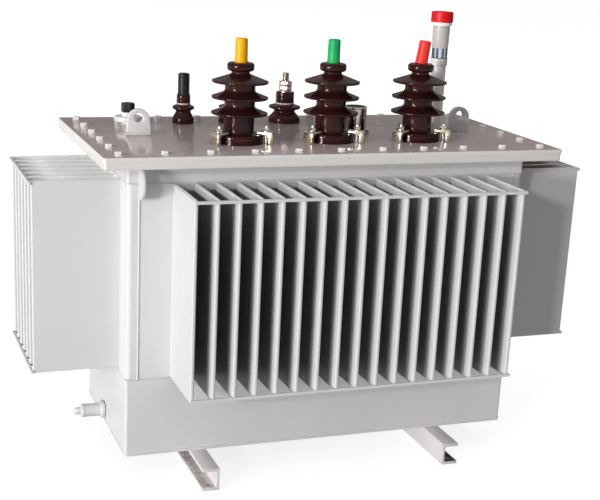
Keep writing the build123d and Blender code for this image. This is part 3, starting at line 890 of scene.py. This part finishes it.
print("claw width:", claw_width)

# %% Nine claws
claw_turns = [math.radians(turn) for turn in (90, 210, 330)]
for colour in ("yellow", "green", "red"):
    claws = bmesh.new()
    place = on_cover(f"hv_bushing_{colour}")
    stamp(claws, claw_with_nut(), [place @ Matrix.Rotation(turn, 4, "Z") for turn in claw_turns])
    piece(f"hv_claws_{colour}_cast", claws, [zinc_gold, zinc_white], "zinc_claws", f"hv_claws_{colour}")

# %% [markdown]
# ## Low-voltage bushings
# The low voltage needs little creepage, so these porcelains are short: a flared foot, one shed and a collar,
# with a pale rubber ring in the groove under it. Neutral and phases could have an outline each, but they are
# the same form in two sizes, so a neck, a shed and a top are all that differ.

# %% Low-voltage porcelain with its pale ring
lv_phase_sizes = (22, 38, 72)
lv_sizes = {"neutral": (16, 25.5, 65), "1": lv_phase_sizes, "2": lv_phase_sizes, "3": lv_phase_sizes}
for kind, (neck, shed, top) in lv_sizes.items():
    node = f"lv_bushing_{kind}"
    place = on_cover(node)
    points = outline(
        (0, 0), (shed, 0, 1), (shed, 11, 5.5), (neck, 28, 4), (shed, 33.5, 2), (shed, 38.5, 2), (neck, 43),
        (neck - 2.5, 43), (neck - 2.5, 47), (neck, 47, 1), (neck, top, 2.5), (0, top),
    )
    turned_piece(f"{node}_glazed", points, glaze, "porcelain", place, node)
    ring = outline((neck - 2.6, 43.2), (neck + 0.4, 43.2, 1), (neck + 0.4, 46.8, 1), (neck - 2.6, 46.8))
    turned_piece(f"lv_ring_{kind}", ring, pale_rubber, "gasket", place)

# %% [markdown]
# ## Neutral sleeve
# A black moulded sleeve covers the neutral terminal. It flares where it sits on the porcelain and has a
# bead near its top. A tapered cylinder could stand for it, but the flare and the bead are what tell it from
# a plain tube, and an outline holds both.

# %% Black sleeve of the neutral
neutral_points = outline(
    (0, 65), (15.2, 65, 0.8), (13.4, 69.5, 3), (13.4, 105, 0.5), (12.8, 106.2, 0.5), (13.4, 107.4, 0.5),
    (13.4, 113, 1.5), (10, 115, 1), (0, 115),
)
neutral_place = on_cover("lv_sleeve_neutral")
turned_piece(
    "lv_sleeve_moulded", neutral_points, black, "black_sleeve", neutral_place, "lv_sleeve_neutral"
)

# %% [markdown]
# ## Phase terminals
# Each phase ends in a threaded stud with a washer and two nuts, where a cable lug goes. The thread could be
# rings, but rings don't climb. One notch of the profile is spun upwards instead, a rise of one pitch a turn,
# and the two nuts are turned a little apart, as a spanner leaves them.

# %% Helper: a screw thread
thread_steps = 20
thread_depth = 0.55


def threaded(radius, pitch, bottom, top):
    """Screw thread: one notch of the profile spun upwards."""
    bm = bmesh.new()
    notch = [(radius, 0), (radius - thread_depth * pitch, pitch / 2), (radius, pitch)]
    verts = [bm.verts.new((across, 0, bottom + up)) for across, up in notch]
    edges = [bm.edges.new(pair) for pair in zip(verts, verts[1:])]
    turns = int((top - bottom) / pitch) - 1
    bmesh.ops.spin(
        bm, geom=verts + edges, axis=(0, 0, 1), cent=(0, 0, 0), dvec=(0, 0, pitch / thread_steps),
        angle=math.tau * turns, steps=thread_steps * turns,
    )
    bmesh.ops.remove_doubles(bm, verts=bm.verts, dist=weld_distance)
    bmesh.ops.recalc_face_normals(bm, faces=bm.faces)
    return bm


print("thread steps a turn:", thread_steps)

# %% Studs, washers and nuts of the phases
nut_turn = math.radians(-6)
nut_slip = math.radians(4)
nut_flats = 27 * mm
nut_chamfer = 1.4 * mm
for step in range(1, 4):
    terminal = threaded(8 * mm, 2 * mm, 95 * mm, 117 * mm)
    disc(terminal, 7 * mm, 72 * mm, 116.5 * mm, 24)
    disc(terminal, 15 * mm, 72 * mm, 75 * mm, 32)
    hexagon(terminal, nut_flats, 75 * mm, 86 * mm, nut_chamfer, nut_turn)
    hexagon(terminal, nut_flats, 86 * mm, 97 * mm, nut_chamfer, nut_turn + nut_slip)
    node = f"lv_terminal_{step}"
    terminal.transform(on_cover(f"lv_bushing_{step}"))
    piece(f"{node}_threaded", terminal, [tinned], "tinned_stud", node)

# %% [markdown]
# ## Oil gauge
# A stand pipe carries a sight glass in a dark cage, and over it a filler neck with a knurled screw cap. The
# knurl could be a bump, but it shows in the silhouette: the spun cap has every second column of its wall
# pulled in, which costs no more faces than a plain cap.

# %% Pipe and cage
gauge = on_cover("oil_gauge_glass")
cage_low = 171.5
cage_high = 194.5
cage_bars = 8
cage_radius = 16.8 * mm
pipe = turned(outline(
    (0, 0), (23, 0, 0.5), (17.5, 5, 2), (17.5, 155), (19, 155), (20, 156, 0.8), (20, 162, 0.8), (19.2, 163),
    (20, 164, 0.8), (20, cage_low, 1), (0, cage_low),
))
bar = bmesh.new()
disc(bar, 2.6 * mm, cage_low * mm, cage_high * mm, 12)
finish_faces(bar, 1)
cage = Matrix.Translation((cage_radius, 0, 0))
stamp(pipe, bar, [Matrix.Rotation(math.tau * step / cage_bars, 4, "Z") @ cage for step in range(cage_bars)])
pipe.transform(gauge)
piece("oil_gauge_pipe_turned", pipe, [pipe_paint, cage_paint], "grey_paint", "oil_gauge_pipe")

# %% Filler neck with its white ring
neck_ring_low = 245.2 * mm
neck = turned(outline(
    (0, cage_high), (19.2, cage_high, 1.2), (20.8, 243), (19.2, 243.5), (19.2, 245.5), (23.6, 246, 0.8),
    (23.6, 254, 0.8), (0, 254),
))
finish_faces(neck, 1, lambda face: face.calc_center_median().z > neck_ring_low)
neck.transform(gauge)
piece("oil_gauge_head_turned", neck, [neck_paint, ring_paint], "grey_paint", "oil_gauge_head")

# %% Knurled cap
knurl_steps = 72
knurl_from = 24.3 * mm
knurl_depth = 0.955
cap = turned(outline(
    (0, 254), (25.8, 254, 0.8), (25, 277.5, 2.2), (21, 277.5, 0.8), (20, 276.5, 0.5), (0, 276.5),
), knurl_steps)
for vert in cap.verts:
    around = round(math.atan2(vert.co.y, vert.co.x) / math.tau * knurl_steps)
    if vert.co.xy.length > knurl_from and around % 2:
        vert.co.xy *= knurl_depth
cap.transform(gauge)
piece("oil_gauge_cap_knurled", cap, [red_screw], "red_cap", "oil_gauge_cap")

# %% [markdown]
# ## Pressure relief can
# A bright can with a dark, sunken top opens when the oil's pressure gets too high. It stands on a small
# flange with six bolts. The dark top could be a second piece, but it is a few faces of the spun can, chosen
# by their height and distance from the axis.

# %% Relief can with its base bolts
base_bolts = 6
base_bolt_circle = 30.5 * mm
dark_top_level = 60.5 * mm
dark_top_reach = 24.5 * mm
can = turned(outline(
    (0, 0), (34, 0, 0.5), (34, 6, 1.5), (27.5, 6, 1), (27.5, 9, 0.8), (26, 10, 0.5), (26, 58, 1),
    (26.8, 59, 0.4), (26.8, 61.5, 1), (24, 63, 1.5), (21, 63, 0.6), (20, 61.5, 0.6), (0, 61.5),
))
bolt = bmesh.new()
hexagon(bolt, 6 * mm, 6 * mm, 10 * mm, 0.6 * mm)
base_ring = Matrix.Translation((base_bolt_circle, 0, 0))
bolt_angles = [math.tau * (step + 0.5) / base_bolts for step in range(base_bolts)]
stamp(can, bolt, [Matrix.Rotation(angle, 4, "Z") @ base_ring for angle in bolt_angles])


def on_dark_top(face):
    """Faces of the can's sunken top."""
    middle = face.calc_center_median()
    return middle.z > dark_top_level and middle.xy.length < dark_top_reach


finish_faces(can, 1, on_dark_top)
can.transform(on_cover("relief_valve"))
piece("relief_can_turned", can, [bright_steel, black], "bright_can", "relief_valve")

# %% [markdown]
# ## Thermometer pocket
# A short pipe with a wide flange is welded to the cover for a thermometer, and a black hexagonal plug closes
# it. Both could be one spun piece, but the plug has flats. So the pocket is spun and the plug is a hexagon
# with rounded rims, turned a little, as it was screwed in.

# %% Pocket and plug
pocket_place = on_cover("thermometer_pocket")
plug_turn = math.radians(8)
pocket = outline(
    (0, 0), (18, 0, 0.5), (14.5, 3.5, 1.5), (14.5, 9, 0.5), (30, 9, 0.8), (30, 20, 1.2), (14.5, 20, 1),
    (14.5, 29.5, 1), (0, 29.5),
)
turned_piece(
    "thermometer_pocket_turned", pocket, tank_paint, "tank_paint", pocket_place, "thermometer_pocket"
)
plug = bmesh.new()
hexagon(plug, 27 * mm, 29.5 * mm, 50 * mm, 1.6 * mm, plug_turn)
plug.transform(pocket_place)
piece("thermometer_plug_moulded", plug, [black], "black_sleeve", "thermometer_plug")

# %% [markdown]
# ## Drain valve
# Oil is let out through a small valve low on the left end: a weld flange, a plain body with a lip, and a
# nose. It could be built lying down, but an outline is easier to read upright. It is spun about Z and then
# turned to point along -X, with its root on the tank.

# %% Valve along -X
valve_low, valve_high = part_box("drain_valve")
valve_root = Vector((valve_high.x, (valve_low.y + valve_high.y) / 2, (valve_low.z + valve_high.z) / 2))
valve = turned(outline(
    (0, 0), (16, 0), (16, 2), (20, 2, 0.8), (20, 9.5, 1.2), (15, 11, 1), (15, 48, 0.6), (15.8, 49, 0.6),
    (15.8, 54, 1.6), (9, 55, 0.6), (8.5, 58), (8.5, 66, 2), (6, 71, 2), (0, 71),
))
valve.transform(Matrix.Translation(valve_root) @ Matrix.Rotation(-math.pi / 2, 4, "Y"))
piece("drain_valve_turned", valve, [tank_paint], "tank_paint", "drain_valve")

# %% [markdown]
# ## Floor
# The transformer stands on a plain white floor that keeps its soft shadow. A white diffuse floor would need
# strong lamps to look white and would throw light up under the tank. So the floor glows where the camera,
# a mirror or the glass looks at it, and is dim for the light that it would only bounce.

# %% Helper: which rays look
floor_size = 40.0
floor_drop = 0.5 * mm


def seen_rays(tree, labels):
    """One where a ray is of one of the named kinds."""
    rays = add(tree, "ShaderNodeLightPath")
    seen = rays.outputs[labels[0]]
    for label in labels[1:]:
        seen = calculated(tree, "MAXIMUM", seen, rays.outputs[label])
    return seen


print("floor reaches", floor_size, "m each way")

# %% Floor material
floor_material = bpy.data.materials.new("floor_white")
floor_material.use_nodes = True
tree = floor_material.node_tree
tree.nodes.remove(tree.nodes["Principled BSDF"])
dim = add(tree, "ShaderNodeBsdfDiffuse", Color=(0.30, 0.287, 0.291, 1))
shaded = add(tree, "ShaderNodeBsdfDiffuse", Color=(0.32, 0.32, 0.32, 1))
glow = add(tree, "ShaderNodeEmission", Strength=0.83)
white = add(tree, "ShaderNodeAddShader")
choice = add(tree, "ShaderNodeMixShader")
tree.links.new(shaded.outputs[0], white.inputs[0])
tree.links.new(glow.outputs[0], white.inputs[1])
seen = seen_rays(tree, ("Is Camera Ray", "Is Glossy Ray", "Is Transmission Ray"))
tree.links.new(seen, choice.inputs[0])
tree.links.new(dim.outputs[0], choice.inputs[1])
tree.links.new(white.outputs[0], choice.inputs[2])
tree.links.new(choice.outputs[0], tree.nodes["Material Output"].inputs["Surface"])
print("floor material ready")

# %% Floor plane
bm = bmesh.new()
bmesh.ops.create_grid(bm, x_segments=1, y_segments=1, size=floor_size)
floor_mesh = bpy.data.meshes.new("floor")
bm.to_mesh(floor_mesh)
bm.free()
floor_mesh.materials.append(floor_material)
floor = bpy.data.objects.new("floor", floor_mesh)
floor.location.z = -floor_drop
scene.collection.objects.link(floor)
print("floor at", floor.location.z)

# %% [markdown]
# ## Room
# The glossy cover and the glaze mirror the room: dark at eye level, lighter overhead. A picture of a studio
# could stand for it, but a ramp over the height of a ray does as well. The walls look lighter in a mirror
# than they feel as light, and behind the object they are plain white.

# %% World colours
overhead = (0.60, 0.585, 0.59, 1)
walls_mirrored = (0.235, 0.212, 0.209, 1)
walls_felt = (0.12, 0.105, 0.107, 1)
world = bpy.data.worlds.new("studio")
world.use_nodes = True
scene.world = world
tree = world.node_tree
height = remap(tree, place_axes(tree)[2], 0.0, 1.0, 0.30, 0.55)
mirrored = mixed(tree, height, walls_mirrored, overhead)
felt = mixed(tree, height, walls_felt, overhead)
room = mixed(tree, seen_rays(tree, ("Is Glossy Ray",)), felt, mirrored)
seen = seen_rays(tree, ("Is Camera Ray", "Is Transmission Ray"))
backdrop = mixed(tree, seen, room, (1.0, 1.0, 1.0, 1))
tree.links.new(backdrop, tree.nodes["Background"].inputs["Color"])
print("world ready")

# %% [markdown]
# ## Lamps
# A small key from the front left draws the flange's shadow sharply on the right panel, and a broad low lamp
# from the left lifts the panels and the fins. A tall strip leaves the streaks on the glaze, and a fill
# behind keeps the back readable without a reflection of its own. One large softbox could light it all, but
# it would wash the shadow away.

# %% Helper: a rectangular lamp that looks at the tank
tank_middle = Vector((0, 0, 0.45))
glaze_middle = Vector((0, -0.1, 1.1))


def lamp(name, direction, distance, size, energy, aim=tank_middle):
    """Area lamp of a width and a height, standing off from the aimed point in a direction."""
    light = bpy.data.lights.new(name, "AREA")
    light.shape = "RECTANGLE"
    light.size, light.size_y = size
    light.energy = energy
    made = bpy.data.objects.new(name, light)
    towards = Vector(direction).normalized()
    made.location = aim + towards * distance
    made.rotation_euler = towards.to_track_quat("Z", "Y").to_euler()
    scene.collection.objects.link(made)
    print(name, "at", [round(value, 2) for value in made.location])
    return made


# %% Key, broad light, strip and fill
far_off = 14.0
lamp("key", (-0.70, -0.66, 0.275), far_off, (0.9, 0.9), 520)
lamp("broad", (-0.86, -0.50, 0.06), far_off, (2.8, 2.1), 1350)
lamp("strip", (-0.93, -0.38, 0.0), 3.2, (0.10, 2.4), 20, glaze_middle)
fill = lamp("fill", (0.60, 0.75, 0.12), far_off, (2.8, 2.1), 750)
fill.visible_glossy = False

# %% [markdown]
# ## Camera
# The camera stands where the picture was taken from: in front, to the left and a little above the cover.
# Its place, turn, dip and roll could be set by eye, but they were worked out from the tank's edges. The lens
# is shifted only as much as the framing needs, so that other views stay in the frame.

# %% Camera
camera_place = Vector((-1.01639, -2.66904, 1.17594))
camera_turn = math.radians(-20.418)
camera_dip = math.radians(16.627)
camera_roll = math.radians(2.667)
camera = bpy.data.cameras.new("camera")
camera.sensor_width = 36.0
camera.lens = 75.434
camera.shift_x = 0.02
camera.shift_y = 0.08
camera_object = bpy.data.objects.new("camera", camera)
camera_object.matrix_world = (
    Matrix.Translation(camera_place)
    @ Matrix.Rotation(camera_turn, 4, "Z")
    @ Matrix.Rotation(math.pi / 2 - camera_dip, 4, "X")
    @ Matrix.Rotation(camera_roll, 4, "Z")
)
scene.collection.objects.link(camera_object)
scene.camera = camera_object
scene.view_settings.view_transform = "Standard"
print("camera at", list(camera_place))
